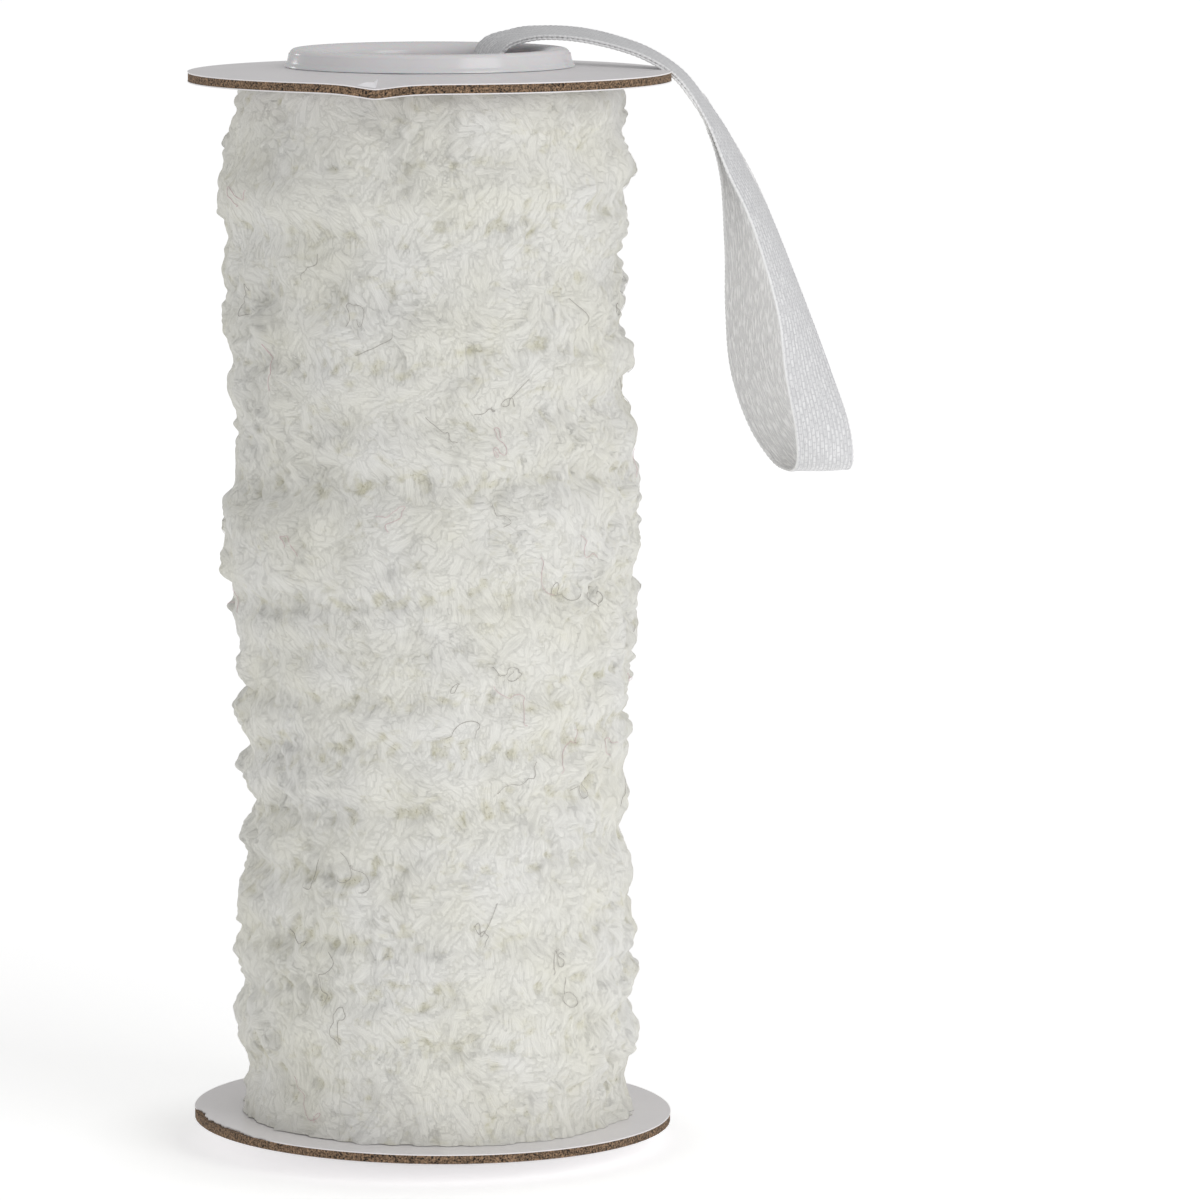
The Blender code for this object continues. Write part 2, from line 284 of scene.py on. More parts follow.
class PileSettings(bpy.types.PropertyGroup):
    stroke_count: IntProperty(name="Yarn ends", description="Ends combed over the pile", default=20000)
    stroke_length: length_setting("Yarn end length", "Length that shows of a yarn end", 4.2 * MM)
    stroke_width: length_setting("Yarn end width", "Width of a yarn end", 1.0 * MM)
    stroke_height: length_setting("Yarn end height", "How far an end stands over its neighbours", 0.2 * MM)
    fibre_width: length_setting("Fibre width", "Width of the streaks in a yarn end", 0.12 * MM)
    hair_width: length_setting("Hair width", "Radius of a long stray hair", 0.026 * MM)
    stray_count: IntProperty(name="Stray hairs", description="Long curly hairs on the pile", default=60)
    seed: IntProperty(name="Seed", description="Seed of the pile's random values", default=11)
    tip_colour: colour_setting("Tip colour", "Colour of the yarn where it is lit", (0.80, 0.795, 0.76))
    # The root colour is painted shade: the olive that the yarn is darkened to deep between the turns
    painted_shade_colour: colour_setting("Root colour", "Colour deep between the turns", (0.56, 0.54, 0.40))


class CardSettings(bpy.types.PropertyGroup):
    paper_thickness: length_setting("Paper thickness", "Facing paper on the board", 0.12 * MM)
    paper_colour: colour_setting("Paper colour", "White facing paper", (0.805, 0.78, 0.79))
    crease_colour: colour_setting("Crease colour", "Paper where it is creased", (0.87, 0.86, 0.88))
    board_colour: colour_setting("Board colour", "Grey-brown pulp board", (0.19, 0.122, 0.073))


class CoreSettings(bpy.types.PropertyGroup):
    plastic_colour: colour_setting("Plastic colour", "Milky white plastic", (0.755, 0.74, 0.752))
    segments: IntProperty(name="Segments", description="Facets round the core", default=160, min=32)


class RibbonSettings(bpy.types.PropertyGroup):
    thickness: length_setting("Ribbon thickness", "Thickness of the satin", 0.2 * MM)
    cup: length_setting("Cup", "How far the hanging front ply bulges across its width", 0.55 * MM)
    satin_colour: colour_setting("Satin colour", "White satin", (0.50, 0.50, 0.515))
    float_colour: colour_setting("Float colour", "Satin floats that catch the light", (0.83, 0.83, 0.84))
    # The inner side's colours are painted light: lighter than the outer side's, for the rear ply that lies in
    # shade
    painted_light_inner_colour: colour_setting("Inner colour", "The loop's inner side", (0.74, 0.735, 0.735))
    painted_light_inner_float_colour: colour_setting("Inner float colour", "Floats on the inner side", (0.93, 0.925, 0.92))
    # The edge colour is a painted highlight along the beaded edges
    painted_highlight_edge_colour: colour_setting("Edge colour", "Beaded edges", (0.86, 0.86, 0.865))


class StageSettings(bpy.types.PropertyGroup):
    floor_colour: colour_setting("Floor colour", "Pale studio floor", (0.93, 0.93, 0.93))
    floor_glow: FloatProperty(name="Floor glow", description="Light of the lit floor", default=0.52, min=0)


SETTINGS = {
    "yarn_pile": PileSettings,
    "yarn_card": CardSettings,
    "yarn_core": CoreSettings,
    "yarn_ribbon": RibbonSettings,
    "yarn_stage": StageSettings,
}


def add_piece(name, mesh, nodes=()):
    """Links a finished mesh as an object on the root body, in place of these frame nodes."""
    obj = bpy.data.objects.new(name, mesh)
    bpy.context.scene.collection.objects.link(obj)
    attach(obj, BODY)
    if nodes:
        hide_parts(*nodes)
    return obj


def node(tree, kind, inputs=None, **settings):
    """Adds a node, sets its properties, and sets or links its inputs by name or number."""
    made = tree.nodes.new(kind)
    for name, value in settings.items():
        setattr(made, name, value)
    for key, value in (inputs or {}).items():
        if isinstance(value, bpy.types.NodeSocket):
            tree.links.new(value, made.inputs[key])
        else:
            made.inputs[key].default_value = value
    return made


def grid_mesh(name, places, wrap_rows=True, wrap_columns=True, uv=None, attributes=None):
    """A mesh of quads from an array of points, rows by columns, joined round either way.

    Faces point outwards where rows run down the outside and columns run anticlockwise from above.
    uv and attributes give one value for each point.
    """
    rows, columns = places.shape[:2]
    index = np.arange(rows * columns).reshape(rows, columns)
    below = np.roll(index, -1, axis=0) if wrap_rows else index[1:]
    here = index if wrap_rows else index[:-1]
    if not wrap_columns:
        here_next, below_next = here[:, 1:], below[:, 1:]
        here, below = here[:, :-1], below[:, :-1]
    else:
        here_next, below_next = np.roll(here, -1, axis=1), np.roll(below, -1, axis=1)
    faces = np.stack([here, below, below_next, here_next], axis=-1).reshape(-1, 4)
    mesh = bpy.data.meshes.new(name)
    mesh.from_pydata(places.reshape(-1, 3).tolist(), [], faces.tolist())
    if uv is not None:
        layer = mesh.uv_layers.new(name="UVMap")
        corners = np.zeros(len(mesh.loops), np.int32)
        mesh.loops.foreach_get("vertex_index", corners)
        layer.uv.foreach_set("vector", uv.reshape(-1, 2)[corners].ravel())
    for key, values in (attributes or {}).items():
        values = np.asarray(values, np.float32)
        if values.ndim == 3:
            layer = mesh.attributes.new(key, "FLOAT_VECTOR", "POINT")
            layer.data.foreach_set("vector", values.ravel())
        else:
            layer = mesh.attributes.new(key, "FLOAT", "POINT")
            layer.data.foreach_set("value", values.ravel())
    mesh.shade_smooth()
    return mesh


def polar(radius, azimuth, height):
    """A place at this radius and azimuth about the Z axis."""
    return Vector((radius * math.cos(azimuth), radius * math.sin(azimuth), height))


def lathe(name, profile, segments, drop=None):
    """A closed (radius, height) outline, which runs down its outer side, turned about the Z axis."""
    azimuths = np.linspace(0, 2 * math.pi, segments, endpoint=False)
    places = np.zeros((len(profile), segments, 3))
    for row, (radius, height) in enumerate(profile):
        places[row, :, 0] = radius * np.cos(azimuths)
        places[row, :, 1] = radius * np.sin(azimuths)
        places[row, :, 2] = height
        if drop:
            places[row, :, 2] -= [drop(radius, azimuth) for azimuth in azimuths]
    return grid_mesh(name, places)


def arc(centre, reaches, start, end, steps):
    """Points of a round or oval corner in an outline, angles in degrees."""
    turns = [math.radians(start + (end - start) * i / steps) for i in range(steps + 1)]
    return [
        (centre[0] + reaches[0] * math.cos(turn), centre[1] + reaches[1] * math.sin(turn)) for turn in turns
    ]


# Shader groups and materials


def new_group(kind, name, inputs, outputs):
    """A Shader or Geometry node group with sockets of these types, and its two end nodes."""
    group = bpy.data.node_groups.new(name, f"{kind}NodeTree")
    for way, sockets in (("INPUT", inputs), ("OUTPUT", outputs)):
        for key, socket_type in sockets.items():
            group.interface.new_socket(key, in_out=way, socket_type=f"NodeSocket{socket_type}")
    return group, group.nodes.new("NodeGroupInput"), group.nodes.new("NodeGroupOutput")


def maths(tree, operation, first, second=0.0):
    """A sum of two sockets or plain values."""
    return node(tree, "ShaderNodeMath", {0: first, 1: second}, operation=operation).outputs[0]


def ranged(tree, value, low, high, to_low=0.0, to_high=1.0, kind="LINEAR"):
    """A value carried from one range to another, and held past its ends."""
    inputs = {0: value, 1: low, 2: high, 3: to_low, 4: to_high}
    return node(tree, "ShaderNodeMapRange", inputs, interpolation_type=kind).outputs[0]


def blended(tree, share, first, second):
    """One colour faded into another."""
    return node(tree, "ShaderNodeMix", {0: share, 6: first, 7: second}, data_type="RGBA").outputs[2]


def cloud(tree, place, scale, **inputs):
    """Noise at a place, with these named inputs."""
    return node(tree, "ShaderNodeTexNoise", {"Vector": place, "Scale": scale, **inputs}).outputs["Fac"]


def dimmed(tree, tone, amount):
    """A colour times an amount."""
    return node(tree, "ShaderNodeVectorMath", {0: tone, "Scale": amount}, operation="SCALE").outputs[0]


def attribute(tree, name, output="Fac"):
    """A value kept on the mesh's points."""
    return node(tree, "ShaderNodeAttribute", attribute_name=name).outputs[output]


def object_place(tree):
    return node(tree, "ShaderNodeTexCoord").outputs["Object"]


def finish_shader(tree, shader, tone, height, distance, strength=1.0):
    """Feeds the shader's colour, and raises its surface by this distance where height is 1."""
    tree.links.new(tone, shader.inputs["Base Color"])
    raised = node(tree, "ShaderNodeBump", {"Height": height, "Strength": strength, "Distance": distance})
    tree.links.new(raised.outputs["Normal"], shader.inputs["Normal"])


def new_material(name, **sockets):
    """A material whose Principled shader has these plain socket values."""
    material = bpy.data.materials.new(name)
    material.use_nodes = True
    tree = material.node_tree
    shader = tree.nodes["Principled BSDF"]
    for key, value in sockets.items():
        shader.inputs[key.replace("_", " ")].default_value = value
    return material, tree, shader


def mottle_group():
    """Uneven colour and fine grain for paper, board and plastic."""
    if "Mottle" in bpy.data.node_groups:
        return bpy.data.node_groups["Mottle"]
    inputs = {"Vector": "Vector", "Colour": "Color", "Patch Size": "Float", "Patch Strength": "Float"}
    inputs.update({"Grain Size": "Float", "Grain Strength": "Float"})
    group, source, sink = new_group("Shader", "Mottle", inputs, {"Colour": "Color", "Height": "Float"})
    values = []
    for key, detail in (("Patch", 3.0), ("Grain", 2.0)):
        scale = maths(group, "DIVIDE", 1.0, source.outputs[f"{key} Size"])
        value = cloud(group, source.outputs["Vector"], scale, Detail=detail)
        doubled = maths(group, "MULTIPLY", maths(group, "SUBTRACT", value, 0.5), 2.0)
        values.append(maths(group, "MULTIPLY", doubled, source.outputs[f"{key} Strength"]))
    lift = maths(group, "ADD", maths(group, "ADD", *values), 1.0)
    group.links.new(dimmed(group, source.outputs["Colour"], lift), sink.inputs["Colour"])
    group.links.new(values[1], sink.inputs["Height"])
    return group


def mottled_material(name, tone, bump, patch, grain, **sockets):
    """A material mottled in patches and in grain, each given as its (size, strength)."""
    material, tree, shader = new_material(name, **sockets)
    inputs = {"Vector": object_place(tree), "Colour": (*tone, 1)}
    inputs.update({"Patch Size": patch[0], "Patch Strength": patch[1]})
    inputs.update({"Grain Size": grain[0], "Grain Strength": grain[1]})
    group = node(tree, "ShaderNodeGroup", inputs, node_tree=mottle_group())
    finish_shader(tree, shader, group.outputs["Colour"], group.outputs["Height"], bump)
    return material


def paper_material(settings):
    """Coated facing paper with a faint sheen."""
    patch, grain = (12 * MM, 0.05), (0.5 * MM, 0.03)
    return mottled_material("facing paper", settings.paper_colour, 0.01 * MM, patch, grain, Roughness=0.32)


def board_material(settings):
    """Speckled pulp board, seen at the cut edge."""
    patch, grain = (0.9 * MM, 0.6), (0.2 * MM, 2.7)
    return mottled_material("pulp board", settings.board_colour, 0.06 * MM, patch, grain, Roughness=0.9)


def plastic_material(settings):
    """Milky moulded plastic."""
    patch, grain = (10 * MM, 0.03), (1.2 * MM, 0.02)
    sockets = {"Roughness": 0.2, "Subsurface_Weight": 0.2, "Subsurface_Scale": 1 * MM}
    return mottled_material("milky plastic", settings.plastic_colour, 0.004 * MM, patch, grain, **sockets)


def yarn_group():
    """The yarn's colour: pale, with painted olive shade in the hollows, a little warmer in patches, with
    olive stains and painted shade along the partings, painted darker towards the top, and streaked with
    fibres.
    """
    if "Yarn Pile" in bpy.data.node_groups:
        return bpy.data.node_groups["Yarn Pile"]
    inputs = {"Tip": "Color", "Painted Shade": "Color", "Place": "Vector", "Fibre Place": "Vector"}
    inputs.update({"Painted Shade Share": "Float", "Parting": "Float", "Tint": "Float"})
    group, source, sink = new_group("Shader", "Yarn Pile", inputs, {"Colour": "Color", "Height": "Float"})
    place = source.outputs["Place"]
    warm = ranged(group, cloud(group, place, 110.0, Detail=2.0), 0.35, 0.7)
    tone = blended(group, warm, source.outputs["Tip"], WARM_YARN)
    ragged = cloud(group, place, 1500.0, Detail=3.0, Roughness=0.7)
    # Painted shade: the colour fades raggedly to the olive shade colour where the relief is low and in the
    # hollows
    painted_shade_share = maths(group, "MULTIPLY", source.outputs["Painted Shade Share"], ranged(group, ragged, 0.38, 0.62, 0.1, 1.0))
    tone = blended(group, painted_shade_share, tone, source.outputs["Painted Shade"])
    # Olive patches, flattened along the turns: partly stains, and partly painted shade where they gather in
    # the partings
    flat = node(group, "ShaderNodeVectorMath", {0: place, 1: (1.0, 1.0, 1.8)}, operation="MULTIPLY")
    patches = cloud(group, flat.outputs[0], 260.0, Detail=5.0, Roughness=0.7)
    amount = maths(group, "ADD", patches, maths(group, "MULTIPLY", source.outputs["Parting"], 0.2))
    stain_and_shade = ranged(group, amount, 0.56, 0.86, 0.0, 0.8)
    tone = blended(group, stain_and_shade, tone, STAIN_AND_SHADE_YARN)
    grit = ranged(group, cloud(group, place, 3200.0, Detail=1.0), 0.6, 0.7, 0.0, 0.8)
    tone = blended(group, maths(group, "MULTIPLY", grit, stain_and_shade), tone, FLECKED_YARN)
    streaks = cloud(group, source.outputs["Fibre Place"], 1.0, Detail=3.0, Roughness=0.6)
    shade = ranged(group, streaks, 0.32, 0.68, 0.925, 1.05)
    # Painted shade: the tint darkens the colour towards the top, and varies it a little at random between
    # yarn ends
    own = ranged(group, source.outputs["Tint"], 0.0, 1.0, 0.89, 1.025)
    group.links.new(dimmed(group, tone, maths(group, "MULTIPLY", shade, own)), sink.inputs["Colour"])
    group.links.new(streaks, sink.inputs["Height"])
    return group


def yarn_material(settings):
    """Soft off-white yarn with painted olive shade in its hollows, streaked along its own fibre places."""
    material, tree, shader = new_material("combed yarn", Roughness=0.95)
    parting = attribute(tree, "hollow")
    # The share of painted shade: where the relief is low, and most in the hollows
    deep = ranged(tree, attribute(tree, "along"), 0.0, 0.7, 1.0, 0.0, kind="SMOOTHSTEP")
    inputs = {
        "Tip": (*settings.tip_colour, 1),
        "Painted Shade": (*settings.painted_shade_colour, 1),
        "Painted Shade Share": maths(tree, "MULTIPLY", deep, ranged(tree, parting, 0.0, 1.0, 0.12, 1.0)),
        "Tint": attribute(tree, "painted_top_shade_and_tint"),
        "Place": object_place(tree),
        "Fibre Place": attribute(tree, "local", "Vector"),
        "Parting": parting,
    }
    group = node(tree, "ShaderNodeGroup", inputs, node_tree=yarn_group())
    finish_shader(tree, shader, group.outputs["Colour"], group.outputs["Height"], YARN_BUMP)
    return material


def satin_material(settings):
    """White satin: fine floats along the ribbon, crossed by short dashes, between two edges painted brighter
    as a painted highlight; its inner side is painted lighter, as painted light on the shaded rear ply.
    """
    material, tree, shader = new_material("white satin", Roughness=0.3, Sheen_Weight=0.1)
    place = node(tree, "ShaderNodeUVMap", uv_map="UVMap").outputs[0]
    turned = {"Vector": place, "Rotation": (0, 0, math.radians(2.5)), "Scale": (46, 4.5, 1)}
    mapped = node(tree, "ShaderNodeMapping", turned).outputs[0]
    floats = cloud(tree, mapped, 1.0, Detail=2.0, Roughness=0.55, Distortion=0.3)
    streaks = ranged(tree, floats, 0.42, 0.58)
    parts = node(tree, "ShaderNodeSeparateXYZ", {"Vector": place})
    slid = maths(tree, "ADD", parts.outputs["Y"], maths(tree, "MULTIPLY", floats, 0.05))
    laid = node(tree, "ShaderNodeCombineXYZ", {"X": slid, "Y": parts.outputs["X"]})
    brick = {"Vector": laid.outputs[0], "Scale": 1.0, "Brick Width": 0.13, "Row Height": 0.068}
    dashes = node(tree, "ShaderNodeTexBrick", {**brick, "Mortar Size": 0.018, "Mortar Smooth": 1.0})
    uneven = ranged(tree, streaks, 0.0, 1.0, 0.55, 1.15)
    woven = maths(tree, "MULTIPLY", ranged(tree, dashes.outputs["Fac"], 0.0, 1.0, 0.85, 0.3), uneven)
    side = attribute(tree, "inner")
    weave = node(tree, "ShaderNodeMix", {0: side, 2: woven, 3: streaks}).outputs[0]
    # Painted light: the inner side, seen on the rear ply in shade, takes the lighter colours
    ground = blended(tree, side, (*settings.satin_colour, 1), (*settings.painted_light_inner_colour, 1))
    lit = blended(tree, side, (*settings.float_colour, 1), (*settings.painted_light_inner_float_colour, 1))
    # Painted highlight: the beaded edges take a brighter colour
    from_centre = maths(tree, "ABSOLUTE", maths(tree, "SUBTRACT", parts.outputs["X"], 0.5))
    edge = ranged(tree, from_centre, 0.455, 0.47)
    edged = blended(tree, edge, blended(tree, weave, ground, lit), (*settings.painted_highlight_edge_colour, 1))
    finish_shader(tree, shader, edged, weave, 0.06 * MM, 0.8)
    return material


# The wound trim


def table_value(height, column):
    """The winding's outline table, read between its rows along a smooth step."""
    rows = WINDING_OUTLINE
    for low, high in zip(rows, rows[1:]):
        if height <= high["height"]:
            share = max(0.0, (height - low["height"]) / (high["height"] - low["height"]))
            share = share * share * (3 - 2 * share)
            return low[column] + (high[column] - low[column]) * share
    return rows[-1][column]


def turn_number(height):
    """How many turns lie below this height on the front: 2.5 is the middle of the third turn."""
    for i, (low, high) in enumerate(zip(GROOVES, GROOVES[1:])):
        if height <= high["height"] or i == len(GROOVES) - 2:
            return i + (height - low["height"]) / (high["height"] - low["height"])


def groove_height(azimuth, number):
    """The height of this groove on the front half, which falls back to its start round the back."""
    quarter = (azimuth - FRONT_AZIMUTH + math.pi) % (2 * math.pi) - math.pi
    if abs(quarter) > math.pi / 2:
        quarter = math.copysign(math.pi - abs(quarter), quarter)
    height = GROOVES[number]["height"]
    for _ in range(3):
        radius = table_value(height, "radius")
        place = polar(radius, azimuth, height)
        wander = TURN_WANDER * noise.noise(place / TURN_WANDER_SIZE)
        turn = number + quarter / (2 * math.pi) - wander
        low = int(turn)
        share = turn - low
        height = GROOVES[low]["height"] * (1 - share) + GROOVES[low + 1]["height"] * share
    return height


def groove_share(number, way_round):
    """The depth of the groove with this number, part of the way round to the next one above it."""
    last = len(GROOVES) - 1
    here = GROOVES[min(max(number, 0), last)]["depth"]
    above = GROOVES[min(max(number + 1, 0), last)]["depth"]
    return here + (above - here) * way_round


def wound_point(azimuth, height):
    """The pile's outer radius, its groove share (0 on a ridge, 1 in a full groove), and its fan.

    The fan is -1 just above a groove and 1 just below the next one: the way the yarn ends lean.
    """
    radius = table_value(height, "radius")
    place = polar(radius, azimuth, height)
    way_round = ((azimuth - FRONT_AZIMUTH) / (2 * math.pi)) % 1.0
    turn = turn_number(height) - way_round + TURN_WANDER * noise.noise(place / TURN_WANDER_SIZE)
    ridge = (0.5 - 0.5 * math.cos(2 * math.pi * turn)) ** GROOVE_SHARPNESS
    share = groove_share(round(turn), way_round) * (1 - ridge)
    lump = PILE_LUMP * noise.noise(place / PILE_LUMP_SIZE)
    fan = 2 * (turn % 1.0) - 1
    return radius - GROOVE_DEPTH * share + lump, share, fan * groove_share(round(turn), way_round)


def rim_share(radius):
    """0 at the core's head and 1 at the card's rim."""
    return max(0.0, (radius - HEAD_RADIUS) / (CARD_RADIUS - HEAD_RADIUS))


def card_drop(radius, azimuth):
    """How far the upper card lies below its flat centre, with the knock in its front edge."""
    away = (azimuth % (2 * math.pi) - DENT_AZIMUTH) / DENT_SPREAD
    inward = max(0.0, CARD_RADIUS - radius) / DENT_REACH
    return CARD_DROOP * rim_share(radius) + DENT_DEPTH * math.exp(-abs(away) ** 1.5) * math.exp(-inward)


def lower_card_drop(radius, azimuth):
    """The same for the lower card, which is warped upwards: most at its left, and not at its right."""
    return -LOWER_CARD_RISE * (1 - math.cos(azimuth)) * rim_share(radius)


def smooth_step(low, high, value):
    share = min(1.0, max(0.0, (value - low) / (high - low)))
    return share * share * (3 - 2 * share)


def blurred(grid, passes):
    """A grid softened down its rows and round its columns."""
    for _ in range(passes):
        padded = np.concatenate([grid[:1], grid, grid[-1:]])
        grid = (padded[:-2] + 2 * padded[1:-1] + padded[2:]) / 4
        grid = (np.roll(grid, 1, 1) + 2 * grid + np.roll(grid, -1, 1)) / 4
    return grid


def surface_normals(places):
    """Outward normals of a tube's grid of points, rows from the top down."""
    down = np.gradient(places, axis=0)
    round_way = np.roll(places, -1, axis=1) - np.roll(places, 1, axis=1)
    normals = np.cross(down, round_way)
    return normals / np.linalg.norm(normals, axis=2, keepdims=True)


class WoundPile:
    """The pile as a grid of values round the spool: rows run from the top down, columns anticlockwise.

    The edges between its bands lie in grooves on the front.
    """

    def __init__(self, settings):
        shape = (PILE_ROWS, PILE_COLUMNS)
        self.azimuths = np.linspace(0, 2 * math.pi, PILE_COLUMNS, endpoint=False)
        edges = [np.full(PILE_COLUMNS, WINDING_TOP)]
        edges += [np.array([groove_height(azimuth, i) for azimuth in self.azimuths]) for i in BAND_GROOVES]
        warp = np.array([lower_card_drop(PILE_FOOT_RADIUS, azimuth) for azimuth in self.azimuths])
        self.ground = LOWER_CARD_TOP + PILE_CLEARANCE - warp
        edges += [self.ground]
        self.edge_rows = np.linspace(0, PILE_ROWS - 1, len(edges)).round().astype(int)
        self.heights = np.zeros(shape)
        for i in range(len(edges) - 1):
            rows = np.arange(self.edge_rows[i], self.edge_rows[i + 1] + 1)
            share = np.linspace(0, 1, len(rows))[:, None]
            self.heights[rows] = edges[i] * (1 - share) + edges[i + 1] * share
        self.leans = np.zeros(shape)
        self.radius = np.zeros(shape)
        self.comb = np.zeros((*shape, 2))
        self.hollow = np.zeros(shape)
        for row in range(PILE_ROWS):
            for column, azimuth in enumerate(self.azimuths):
                self.fill_point(row, column, azimuth, self.heights[row, column])
        # Painted shade: the tint runs from the top rows, painted darker, to the bottom rows
        self.painted_top_shade_and_tint = np.tile(np.linspace(0.05, 0.95, PILE_ROWS)[:, None], PILE_COLUMNS)
        self.local = np.zeros((*shape, 3))
        self.comb_strokes(settings)

    def fill_point(self, row, column, azimuth, height):
        """The lumps, hollows and comb at one point: the comb is which way the yarn ends lie."""
        radius, share, fan = wound_point(azimuth, height)
        place = polar(radius, azimuth, height)
        swirl = noise.noise_vector(place / COMB_SIZE) * COMB_SWIRL
        parting = noise.noise(place / HOLLOW_SIZE + Vector((31, 7, 3)))
        hollow = smooth_step(0.4, 1.1, 0.7 * share + 1.1 * parting)
        warped = place + noise.noise_vector(place / CLUMP_WARP_SIZE) * CLUMP_WARP
        clump = sum(
            height_of * (0.45 - math.hypot(noise.voronoi(warped / size)[0][0], CLUMP_ROUNDING))
            for size, height_of in CLUMPS
        )
        clump *= 0.75 + 0.9 * noise.noise(place / CLUMP_PATCH_SIZE)
        self.radius[row, column] = radius + clump - HOLLOW_DEPTH * hollow
        self.leans[row, column] = table_value(height, "lean")
        self.comb[row, column] = (swirl.x, swirl.y + COMB_FAN * fan - COMB_SAG)
        self.hollow[row, column] = hollow

    def comb_strokes(self, settings):
        """Lays short overlapping strokes of yarn along the comb, each higher at its tip than its root."""
        rng = np.random.default_rng(settings.seed)
        row_step = (WINDING_TOP - WINDING_BOTTOM) / (PILE_ROWS - 1)
        column_step = 2 * math.pi * float(self.radius.mean()) / PILE_COLUMNS
        base = self.radius - 0.5 * settings.stroke_height
        surface = base.copy()
        for number in range(settings.stroke_count):
            row, column = rng.integers(0, PILE_ROWS), rng.integers(0, PILE_COLUMNS)
            if rng.uniform() < 0.5 * self.hollow[row, column]:
                continue
            sideways, upward = self.comb[row, column]
            slant = min(1.2, math.hypot(sideways, upward))
            turn = math.atan2(upward, sideways) + rng.normal(0, 0.4)
            length = settings.stroke_length * (0.45 + 0.75 * slant) * rng.uniform(0.75, 1.25)
            half_width = settings.stroke_width / 2 * rng.uniform(0.6, 1.4)
            level = rng.normal(0, 0.25) * settings.stroke_height
            bend = rng.uniform(-0.8, 0.8)
            reach = int(math.ceil((length / 2 + half_width) / min(row_step, column_step))) + 1
            rows = np.arange(max(0, row - reach), min(PILE_ROWS, row + reach + 1))
            columns = np.arange(column - reach, column + reach + 1)
            cells = np.ix_(rows, columns % PILE_COLUMNS)
            right = (columns[None, :] - column) * column_step
            up = self.heights[cells] - self.heights[row, column]
            along = (right * math.cos(turn) + up * math.sin(turn)) / length + 0.5
            across = (up * math.cos(turn) - right * math.sin(turn)) / half_width + bend * (along - 0.5) ** 2
            ragged = 0.06 * np.sin(across * rng.uniform(4, 9) + rng.uniform(0, 6))
            tip = np.clip((along + ragged - 0.72) / 0.28, 0, 1)
            crest = np.clip(1 - across**2, 0, 1) * (1 - tip**2)
            crest *= np.clip(along * 6, 0, 1)
            ridges = 1 + 0.07 * np.sin(across * 7.5 + number)
            rise = settings.stroke_height * crest * ridges * (0.3 + 0.7 * along)
            candidate = base[cells] + rise + level * (crest > 0)
            wins = (crest > 0) & (along > 0) & (candidate > surface[cells])
            fibres = np.stack(
                [
                    across * half_width / settings.fibre_width,
                    along * length / (9 * settings.fibre_width),
                    np.full(along.shape, rng.uniform(0, 90)),
                ],
                axis=-1,
            )
            # A yarn end's tint is mostly its row, painted darker towards the top as painted shade, and partly
            # random
            for grid, value in (
                (surface, candidate),
                (self.painted_top_shade_and_tint, np.full(along.shape, 0.15 * rng.uniform() + 0.85 * row / PILE_ROWS)),
                (self.local, fibres),
            ):
                patch = grid[cells]
                patch[wins] = value[wins]
                grid[cells] = patch
        strokes = blurred(surface - base, 2)
        self.relief = strokes / settings.stroke_height
        self.radius = blurred(base, 1) + strokes + self.ends()

    def ends(self):
        """The pile spreads raggedly over the lower card, and rounds in under the upper one."""
        low = np.clip(1 - (self.heights - self.ground) / SKIRT_HEIGHT, 0, 1)
        high = np.clip(1 - (WINDING_TOP - self.heights) / TOP_ROUNDING, 0, 1)
        rim = [polar(1, azimuth, 0) * SKIRT_TUFTS for azimuth in self.azimuths]
        ragged = [noise.fractal(place, 1.0, 2.0, 3) for place in rim]
        return low**2 * (SKIRT_REACH + SKIRT_RAGGED * np.array(ragged)) - high**2 * TOP_ROUNDING

    def soft_normals(self, softness):
        """The surface's own normals, turned part of the way to those of its softened form."""
        sharp = surface_normals(self.places(slice(None)))
        own = self.radius
        self.radius = blurred(own, PILE_SOFTENING_PASSES)
        soft = surface_normals(self.places(slice(None)))
        self.radius = own
        mixed = sharp * (1 - softness) + soft * softness
        return mixed / np.linalg.norm(mixed, axis=2, keepdims=True)

    def places(self, rows):
        """Points of these rows on the surface."""
        radius = self.radius[rows]
        places = np.zeros((*radius.shape, 3))
        places[..., 0] = radius * np.cos(self.azimuths) + self.leans[rows]
        places[..., 1] = radius * np.sin(self.azimuths)
        places[..., 2] = self.heights[rows]
        return places

    def grids(self):
        """What the material reads from the mesh."""
        return {"hollow": self.hollow, "along": self.relief, "painted_top_shade_and_tint": self.painted_top_shade_and_tint, "local": self.local}

    def bands(self):
        """The rows of each band, the first and last shared with its neighbours."""
        return [np.arange(first, last + 1) for first, last in zip(self.edge_rows, self.edge_rows[1:])]


# The wound pile, once MakePile has made it: MakeStrays lays its hairs on it
PILE = []


def keep_between_cards(mesh):
    """Presses the pile that would pass through a card flat against it."""
    places = np.zeros(len(mesh.vertices) * 3, np.float32)
    mesh.vertices.foreach_get("co", places)
    places = places.reshape(-1, 3)
    radii = np.hypot(places[:, 0], places[:, 1])
    azimuths = np.arctan2(places[:, 1], places[:, 0])
    for i in np.flatnonzero(places[:, 2] > UPPER_CARD_UNDER - PILE_END):
        ceiling = UPPER_CARD_UNDER - card_drop(float(radii[i]), float(azimuths[i])) - PILE_CLEARANCE
        places[i, 2] = min(places[i, 2], ceiling)
    for i in np.flatnonzero(places[:, 2] < LOWER_CARD_TOP + PILE_END):
        ground = LOWER_CARD_TOP - lower_card_drop(float(radii[i]), float(azimuths[i])) + PILE_CLEARANCE
        places[i, 2] = max(places[i, 2], ground)
    mesh.vertices.foreach_set("co", places.ravel())
    mesh.update()


